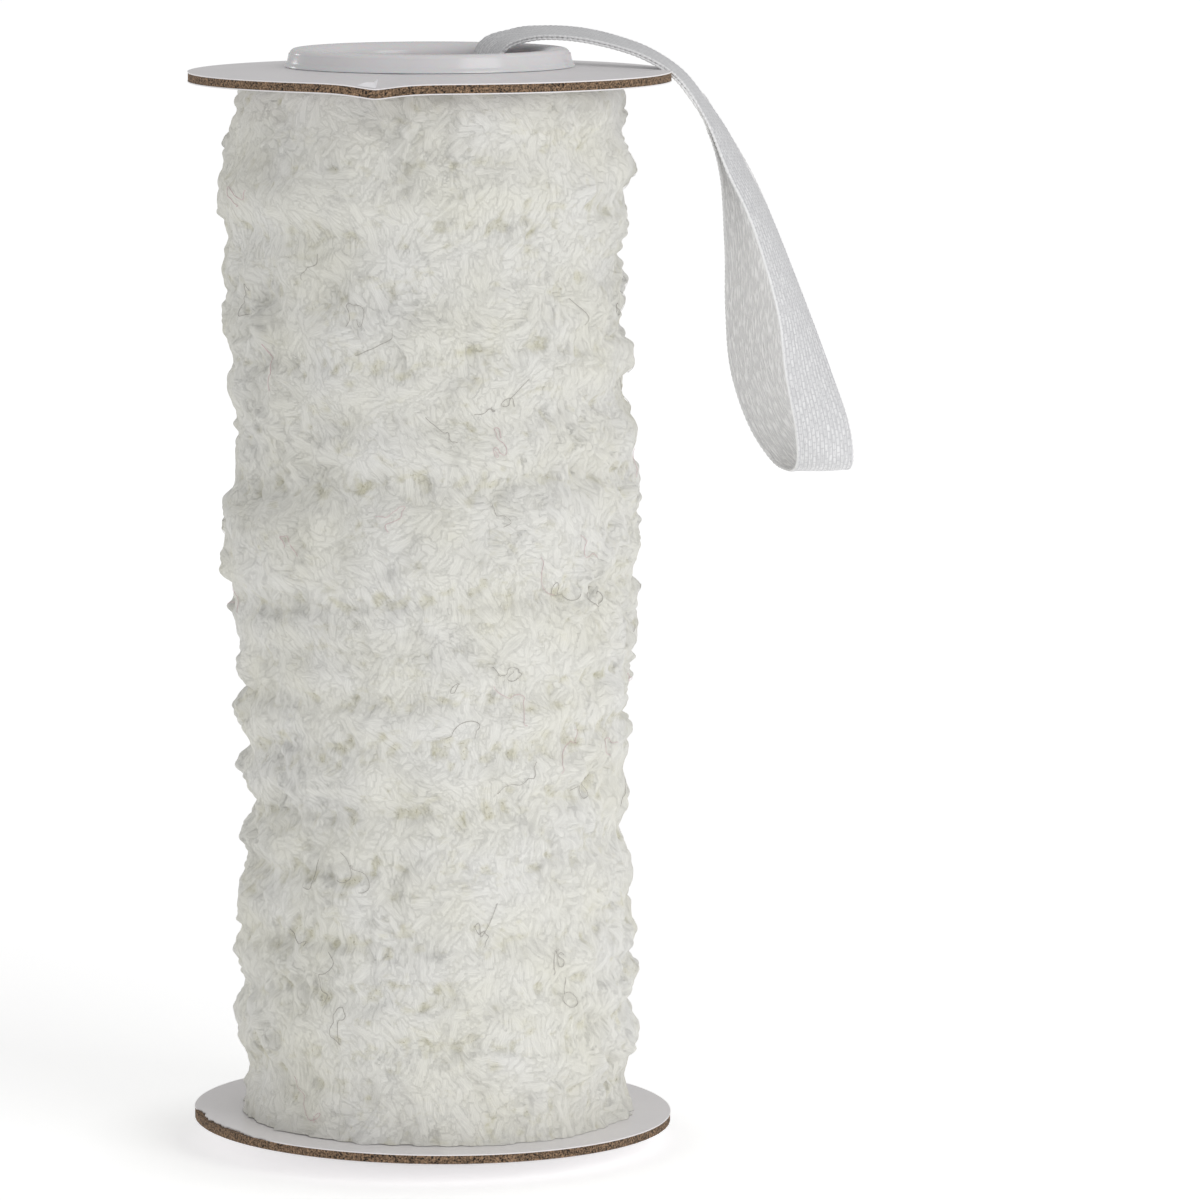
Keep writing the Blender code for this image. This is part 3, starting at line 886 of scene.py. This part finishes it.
class MakePile(bpy.types.Operator):
    """Make the wound pile, combed into yarn ends, as one closed ring for each band of height"""

    bl_idname = "yarn.make_pile"
    bl_label = "Wound Pile"

    def execute(self, context):
        settings = context.scene.yarn_pile
        # Blender shifts noise_vector by a seed of its own, which comes from the clock unless it is set
        noise.seed_set(settings.seed)
        pile = WoundPile(settings)
        PILE[:] = [pile]
        pile.normals = pile.soft_normals(PILE_SOFTNESS)
        material = yarn_material(settings)
        for number, rows in enumerate(pile.bands()):
            places = pile.places(rows)
            inner = np.zeros((2, PILE_COLUMNS, 3))
            inner[..., 0] = PILE_BORE * np.cos(pile.azimuths)
            inner[..., 1] = PILE_BORE * np.sin(pile.azimuths)
            inner[..., 2] = pile.heights[rows[[-1, 0]]]
            values = {
                key: np.concatenate([grid[rows], np.zeros((2, *grid.shape[1:]))])
                for key, grid in pile.grids().items()
            }
            mesh = grid_mesh(f"pile_{number + 1}", np.concatenate([places, inner]), attributes=values)
            keep_between_cards(mesh)
            ends = np.zeros((2, PILE_COLUMNS, 3))
            normals = np.concatenate([pile.normals[rows], ends]).reshape(-1, 3)
            mesh.normals_split_custom_set_from_vertices(normals)
            mesh.materials.append(material)
            add_piece(f"pile_{number + 1}", mesh, ["trim_winding"])
        return {"FINISHED"}


def run_nodes(obj, tree, values):
    """The plain mesh that a Geometry Nodes tree makes of an object, which is then removed."""
    modifier = obj.modifiers.new(tree.name, "NODES")
    modifier.node_group = tree
    for item in tree.interface.items_tree:
        if item.in_out == "INPUT" and item.name in values:
            modifier[item.identifier] = values[item.name]
    graph = bpy.context.evaluated_depsgraph_get()
    mesh = bpy.data.meshes.new_from_object(
        obj.evaluated_get(graph), preserve_all_data_layers=True, depsgraph=graph
    )
    old = obj.data
    bpy.data.objects.remove(obj)
    bpy.data.meshes.remove(old)
    return mesh


def hair_tree():
    """Geometry Nodes: a thin tube with closed ends along every line of edges, in one material."""
    inputs = {"Geometry": "Geometry", "Hair Width": "Float", "Sides": "Int", "Material": "Material"}
    tree, source, sink = new_group("Geometry", "Hairs", inputs, {"Geometry": "Geometry"})
    lines = node(tree, "GeometryNodeMeshToCurve", {"Mesh": source.outputs["Geometry"]})
    size = {"Resolution": source.outputs["Sides"], "Radius": source.outputs["Hair Width"]}
    ring = node(tree, "GeometryNodeCurvePrimitiveCircle", size)
    sweep = {"Curve": lines.outputs[0], "Profile Curve": ring.outputs[0], "Fill Caps": True}
    tubes = node(tree, "GeometryNodeCurveToMesh", sweep)
    whole = node(tree, "GeometryNodeRealizeInstances", {"Geometry": tubes.outputs[0]})
    dye = {"Geometry": whole.outputs[0], "Material": source.outputs["Material"]}
    tree.links.new(node(tree, "GeometryNodeSetMaterial", dye).outputs[0], sink.inputs[0])
    return tree


class MakeStrays(bpy.types.Operator):
    """Make the long curly hairs that lie on the pile"""

    bl_idname = "yarn.make_strays"
    bl_label = "Stray Hairs"

    def execute(self, context):
        settings = context.scene.yarn_pile
        rng = random.Random(settings.seed + 5)
        tree = hair_tree()
        for kind, count in (("grey", settings.stray_count), ("pink", settings.stray_count // 2)):
            points, edges = [], []
            for _ in range(count):
                line = hair_line(PILE[0], rng, settings.hair_width)
                start = len(points)
                points += line
                edges += [(start + i, start + i + 1) for i in range(len(line) - 1)]
            mesh = bpy.data.meshes.new("hair_lines")
            mesh.from_pydata(points, edges, [])
            lines = bpy.data.objects.new("hair_lines", mesh)
            context.scene.collection.objects.link(lines)
            material, _, _ = new_material(f"{kind} hair", Base_Color=HAIR_COLOURS[kind], Roughness=0.6)
            values = {"Hair Width": settings.hair_width, "Sides": HAIR_SIDES, "Material": material}
            tubes = run_nodes(lines, tree, values)
            tubes.name = f"stray_hairs_{kind}"
            tubes.shade_smooth()
            add_piece(f"stray_hairs_{kind}", tubes, ["trim_winding"])
        return {"FINISHED"}


def hair_line(pile, rng, width):
    """The middle line of a hair that wanders over the pile with sudden turns."""
    row, column = rng.uniform(20, PILE_ROWS - 20), rng.uniform(0, PILE_COLUMNS)
    heading, turning = rng.uniform(0, 2 * math.pi), 0.0
    centres = []
    for _ in range(rng.randint(18, 46)):
        if rng.random() < 0.16:
            heading += rng.choice((-1, 1)) * rng.uniform(0.7, 1.7)
            turning = rng.uniform(-0.25, 0.25)
        heading += turning + rng.uniform(-0.12, 0.12)
        row = min(max(row + 1.1 * math.sin(heading), 6), PILE_ROWS - 7)
        column += 1.1 * math.cos(heading)
        near = pile.radius[int(row) - 1 : int(row) + 3, (int(column) + np.arange(-1, 3)) % PILE_COLUMNS]
        azimuth = column / PILE_COLUMNS * 2 * math.pi
        radius = float(near.mean()) * 0.5 + float(near.max()) * 0.5 + 1.5 * width
        cell = int(row), int(column) % PILE_COLUMNS
        share = row - int(row)
        height = pile.heights[cell] * (1 - share) + pile.heights[int(row) + 1, cell[1]] * share
        x, y = radius * math.cos(azimuth) + pile.leans[cell], radius * math.sin(azimuth)
        centres.append(Vector((x, y, height)))
    last = len(centres) - 1
    return [
        (centres[max(i - 1, 0)] + centre * 2 + centres[min(i + 1, last)]) / 4
        for i, centre in enumerate(centres)
    ]


class MakeCards(bpy.types.Operator):
    """Make the two card discs: pulp board faced with paper"""

    bl_idname = "yarn.make_cards"
    bl_label = "Card Discs"

    def execute(self, context):
        settings = context.scene.yarn_card
        board = board_material(settings)
        paper = paper_material(settings)
        discs = (
            ("upper", UPPER_CARD_UNDER, card_drop, paper_wear, paper_wear),
            ("lower", LOWER_CARD_UNDER, lower_card_drop, torn_wear, under_wear),
        )
        thin = settings.paper_thickness
        for which, under, drop, top_wear, low_wear in discs:
            layers = (
                ("board", thin, CARD_THICKNESS - thin, board, board_wear),
                ("paper_top", CARD_THICKNESS - thin, CARD_THICKNESS, paper, top_wear),
                ("paper_under", 0.0, thin, paper, low_wear),
            )
            for layer, low, high, material, layer_wear in layers:
                profile = [(radius, under + high) for radius in CARD_RINGS]
                profile += [(radius, under + low) for radius in reversed(CARD_RINGS)]
                mesh = lathe(f"card_{which}_{layer}", profile, CARD_SEGMENTS, drop)
                wear_rim(mesh, layer_wear)
                mesh.set_sharp_from_angle(angle=math.radians(40))
                mesh.materials.append(material)
                add_piece(f"card_{which}_{layer}", mesh, [f"card_{which}"])
        fold = fold_mesh()
        material, _, _ = new_material("creased paper", Base_Color=(*settings.crease_colour, 1), Roughness=0.5)
        fold.materials.append(material)
        add_piece("card_upper_fold", fold, ["card_upper"])
        return {"FINISHED"}


def fold_mesh():
    """The bit of facing paper that stands up in a crease beside the knock: a thin closed flap."""
    points = []
    for thickness in (0.0, FOLD_THICKNESS):
        for turn, radius, rise in FOLD_CORNERS:
            azimuth = math.radians(turn)
            height = UPPER_CARD_TOP - card_drop(radius, azimuth) + rise
            points.append(polar(radius - thickness, azimuth, height))
    count = len(FOLD_CORNERS)
    faces = [tuple(range(count)), tuple(reversed(range(count, 2 * count)))]
    for i in range(count):
        after = (i + 1) % count
        faces.append((i, i + count, after + count, after))
    mesh = bpy.data.meshes.new("card_upper_fold")
    mesh.from_pydata(points, [], faces)
    return mesh


def board_wear(azimuth):
    """How far the pulp's rim stands back, raggedly, from the card's own."""
    place = polar(1, azimuth, 3) * BOARD_ROUGHNESS
    return 0.07 * MM + 0.05 * MM * noise.noise(place)


def paper_wear(azimuth):
    """The same for a facing paper."""
    place = polar(1, azimuth, 0) * PAPER_ROUGHNESS
    return 0.02 * MM + 0.06 * MM * max(0.0, noise.noise(place))


def under_wear(azimuth):
    """The same for the lower card's under paper, which is rubbed off its rim."""
    return UNDER_PAPER_WEAR


def torn_wear(azimuth):
    """The same for the lower card's upper paper, which is torn at the front left."""
    turn = azimuth % (2 * math.pi)
    share = smooth_step(*TEAR_AZIMUTHS[:2], turn) * (1 - smooth_step(*TEAR_AZIMUTHS[2:], turn))
    place = polar(1, azimuth, 5) * TEAR_ROUGHNESS
    return paper_wear(azimuth) + TEAR_DEPTH * share * (0.75 + 0.6 * noise.fractal(place, 0.8, 2.0, 4))


def wear_rim(mesh, wear):
    """Moves the outer rim of a disc inwards by its own wear at each azimuth."""
    for vertex in mesh.vertices:
        radius = math.hypot(vertex.co.x, vertex.co.y)
        if radius > CARD_RADIUS - 0.01 * MM:
            share = 1 - wear(math.atan2(vertex.co.y, vertex.co.x)) / radius
            vertex.co.x *= share
            vertex.co.y *= share


class MakeCore(bpy.types.Operator):
    """Make the plastic core with its two flared heads"""

    bl_idname = "yarn.make_core"
    bl_label = "Plastic Core"

    def execute(self, context):
        settings = context.scene.yarn_core
        mouth = (STANDING_RING, HEAD_HEIGHT - FLARE_DEPTH)
        half = arc(mouth, (STANDING_RING - BORE_RADIUS, FLARE_DEPTH), 180, 90, 9)
        rim = (HEAD_RADIUS - WALL_DRAFT - HEAD_EDGE, HEAD_HEIGHT - HEAD_EDGE)
        half += arc(rim, (HEAD_EDGE, HEAD_EDGE), 90, 0, 8)
        half += [
            (HEAD_RADIUS - WALL_DRAFT * 0.7, 1.1 * MM),
            (HEAD_RADIUS - WALL_DRAFT * 0.2, 0.35 * MM),
            (HEAD_RADIUS + 0.02 * MM, 0.1 * MM),
            (HEAD_RADIUS + 0.16 * MM, -0.04 * MM),
            (HEAD_RADIUS + 0.2 * MM, -0.26 * MM),
            (CARD_HOLE_RADIUS + 0.3 * MM, -0.26 * MM),
            (CARD_HOLE_RADIUS, 0.0),
            (TUBE_RADIUS, 0.0),
        ]
        seat = CORE_TOP - HEAD_HEIGHT
        profile = [(r, seat + z) for r, z in half] + [(r, HEAD_HEIGHT - z) for r, z in reversed(half)]
        mesh = lathe("core", profile, settings.segments)
        mesh.set_sharp_from_angle(angle=math.radians(50))
        mesh.materials.append(plastic_material(settings))
        add_piece("core", mesh, ["spool_core"])
        return {"FINISHED"}


# The ribbon


def row_width_direction(row):
    """Which way the ribbon's width runs: along Y at face 0, and along X at face 90."""
    turn = math.radians(row["face"])
    return Vector((math.sin(turn), math.cos(turn), 0.0))


def row_place(row):
    return Vector((row["x"], row["y"], row["z"])) * MM


def arch_ply(side):
    """The pair's middle line, moved to one ply: side is 1 for the upper ply and -1 for the lower."""
    places = [row_place(row) for row in RIBBON_ARCH]
    ply = []
    for i, row in enumerate(RIBBON_ARCH):
        along = places[min(i + 1, len(places) - 1)] - places[max(i - 1, 0)]
        along.normalize()
        across = row_width_direction(row)
        across = (across - along * across.dot(along)).normalized()
        upward = along.cross(across)
        roll = math.radians(row["roll"])
        across, upward = (
            across * math.cos(roll) + upward * math.sin(roll),
            upward * math.cos(roll) - across * math.sin(roll),
        )
        fan = PLY_FAN * min(1.0, i / ROWS_TO_FULL_FAN)
        ply.append((places[i] + upward * side * PLY_SPACING / 2 - across * side * fan / 2, across))
    if side > 0:
        ply[0] = (ply[0][0] - Vector((0, 0, UPPER_PLY_EXTRA)), ply[0][1])
    return ply


def single_ply(rows):
    return [(row_place(row), row_width_direction(row)) for row in rows]


def smooth_route(stops, points_per_span):
    """Catmull-Rom through (place, width direction) stops."""
    route = []
    last = len(stops) - 1
    for i in range(last):
        before, start = stops[max(i - 1, 0)], stops[i]
        end, after = stops[i + 1], stops[min(i + 2, last)]
        for step in range(points_per_span):
            t = step / points_per_span
            route.append(
                tuple(
                    (
                        2 * start[part]
                        + (end[part] - before[part]) * t
                        + (2 * before[part] - 5 * start[part] + 4 * end[part] - after[part]) * t**2
                        + (3 * start[part] - before[part] - 3 * end[part] + after[part]) * t**3
                    )
                    * 0.5
                    for part in range(2)
                )
            )
    route.append(stops[last])
    return route


def ribbon_route(points_per_span):
    """Out of the bore on the upper ply, down the front, round the bottom and back up the rear ply."""
    stops = arch_ply(1) + single_ply(RIBBON_FRONT) + single_ply(RIBBON_BOTTOM)
    stops += list(reversed(single_ply(RIBBON_REAR))) + list(reversed(arch_ply(-1)))
    return smooth_route(stops, points_per_span)


def ribbon_section(thickness, bead):
    """The ribbon's cross section as (share of width, height): thin satin between two beaded edges."""
    cord = (0.17 + 0.08 * bead) * MM
    half = RIBBON_WIDTH / 2
    upper = arc((half - BEAD_INSET, 0.0), (cord, 0.66 * cord), 0, 150, 5)
    across = [(half * share, thickness / 2) for share in (0.8, 0.4, 0.0)]
    right = upper + across
    left = [(-x, z) for x, z in reversed(right[:-1])]
    top = right + left
    bottom = [(x, -z) for x, z in reversed(top[1:-1])]
    return top + bottom


class MakeRibbon(bpy.types.Operator):
    """Make the satin ribbon loop along its route"""

    bl_idname = "yarn.make_ribbon"
    bl_label = "Ribbon Loop"

    def execute(self, context):
        settings = context.scene.yarn_ribbon
        route = ribbon_route(POINTS_PER_SPAN)
        rows = len(route)
        size = len(ribbon_section(settings.thickness, 0))
        places = np.zeros((rows, size, 3))
        uv = np.zeros((rows, size, 2))
        travelled = 0.0
        for i, (place, across) in enumerate(route):
            along = route[min(i + 1, rows - 1)][0] - route[max(i - 1, 0)][0]
            along.normalize()
            across = (across - along * across.dot(along)).normalized()
            normal = along.cross(across)
            if i:
                travelled += (place - route[i - 1][0]).length
            bead = abs(math.sin(math.pi * travelled / BEAD_SPACING))
            cup = settings.cup * smooth_step(*CUP_STARTS, travelled)
            cup *= 1 - smooth_step(*CUP_ENDS, travelled)
            for j, (wide, thick) in enumerate(ribbon_section(settings.thickness, bead)):
                bulge = cup * (0.5 - (2 * wide / RIBBON_WIDTH) ** 2)
                places[i, j] = place + across * wide + normal * (thick + bulge)
                uv[i, j] = (wide / RIBBON_WIDTH + 0.5, travelled / RIBBON_WIDTH)
        inner = np.array([thick < 0 for _, thick in ribbon_section(settings.thickness, 0)], float)
        sides = {"inner": np.tile(inner, (rows, 1))}
        mesh = grid_mesh("ribbon", places, wrap_rows=False, uv=uv, attributes=sides)
        close_ends(mesh, size)
        mesh.materials.append(satin_material(settings))
        ribbon = add_piece("ribbon", mesh, ["ribbon_loop"])
        return {"FINISHED"}


def close_ends(mesh, columns):
    """Closes the two open ends of a tube made by grid_mesh."""
    shape = bmesh.new()
    shape.from_mesh(mesh)
    shape.verts.ensure_lookup_table()
    count = len(shape.verts)
    shape.faces.new([shape.verts[i] for i in range(columns)])
    shape.faces.new([shape.verts[i] for i in reversed(range(count - columns, count))])
    bmesh.ops.recalc_face_normals(shape, faces=shape.faces)
    shape.to_mesh(mesh)
    shape.free()


class MakeStage(bpy.types.Operator):
    """Make the camera, the floor and the lights"""

    bl_idname = "yarn.make_stage"
    bl_label = "Stage"

    def execute(self, context):
        scene = context.scene
        scene.view_settings.view_transform = "Standard"
        lens = bpy.data.cameras.new("camera")
        lens.sensor_width = SENSOR_WIDTH_MM
        lens.lens = SENSOR_WIDTH_MM * FOCAL_PIXELS / PHOTO_PIXELS
        lens.clip_start = 0.01
        lens.clip_end = 50
        camera = bpy.data.objects.new("camera", lens)
        camera.location = CAMERA_PLACE
        camera.rotation_euler = (math.radians(90) - CAMERA_PITCH, 0, 0)
        scene.collection.objects.link(camera)
        scene.camera = camera

        floor_material, tree, shader = new_material("studio floor", Roughness=0.9)
        shader.inputs["Base Color"].default_value = (*scene.yarn_stage.floor_colour, 1)
        # The floor glows less near the spool, a painted shade, and less still round its foot, a painted
        # shadow centred a little to the front left
        ends = {0: object_place(tree), 1: SHADE_PLACE}
        away = node(tree, "ShaderNodeVectorMath", ends, operation="DISTANCE").outputs["Value"]
        glow = ranged(tree, away, 80 * MM, 600 * MM, PAINTED_SHADE_GLOW_NEAR, 1.0)
        under = ranged(tree, away, 22 * MM, 38 * MM, PAINTED_SHADOW_GLOW, 1.0, kind="SMOOTHSTEP")
        tree.links.new(maths(tree, "MULTIPLY", glow, under), shader.inputs["Emission Color"])
        shader.inputs["Emission Strength"].default_value = scene.yarn_stage.floor_glow
        floor = bpy.data.meshes.new("floor")
        corners = [(x * FLOOR_HALF, y * FLOOR_HALF, 0) for x, y in ((-1, -1), (1, -1), (1, 1), (-1, 1))]
        floor.from_pydata(corners, [], [(0, 1, 2, 3)])
        floor.materials.append(floor_material)
        ground = bpy.data.objects.new("floor", floor)
        scene.collection.objects.link(ground)

        world = bpy.data.worlds.new("studio")
        world.use_nodes = True
        background = world.node_tree.nodes["Background"]
        background.inputs["Color"].default_value = (1, 1, 1, 1)
        background.inputs["Strength"].default_value = WORLD_STRENGTH
        scene.world = world

        for row in LAMPS:
            lamp = bpy.data.lights.new(row["name"], "AREA")
            lamp.size = row["size"]
            lamp.energy = row["power"]
            holder = bpy.data.objects.new(row["name"], lamp)
            holder.location = row["place"]
            aim = Vector(LAMP_AIM) - Vector(row["place"])
            holder.rotation_euler = aim.to_track_quat("-Z", "Y").to_euler()
            scene.collection.objects.link(holder)
        return {"FINISHED"}


OPERATORS = [MakeStage, MakeCore, MakeCards, MakeRibbon, MakePile, MakeStrays]


class YarnSpoolPanel(bpy.types.Panel):
    """Lists the spool's pieces"""

    bl_idname = "VIEW3D_PT_yarn_spool"
    bl_label = "Yarn Spool"
    bl_space_type = "VIEW_3D"
    bl_region_type = "UI"
    bl_category = "Yarn Spool"

    def draw(self, context):
        for operator in OPERATORS:
            self.layout.operator(operator.bl_idname)


def register():
    for cls in [*SETTINGS.values(), *OPERATORS, YarnSpoolPanel]:
        bpy.utils.register_class(cls)
    for name, cls in SETTINGS.items():
        setattr(bpy.types.Scene, name, PointerProperty(type=cls))


def unregister():
    for name in SETTINGS:
        delattr(bpy.types.Scene, name)
    for cls in reversed([*SETTINGS.values(), *OPERATORS, YarnSpoolPanel]):
        bpy.utils.unregister_class(cls)


def main():
    register()
    for operator in OPERATORS:
        group, name = operator.bl_idname.split(".")
        getattr(getattr(bpy.ops, group), name)()


if __name__ == "__main__":
    main()
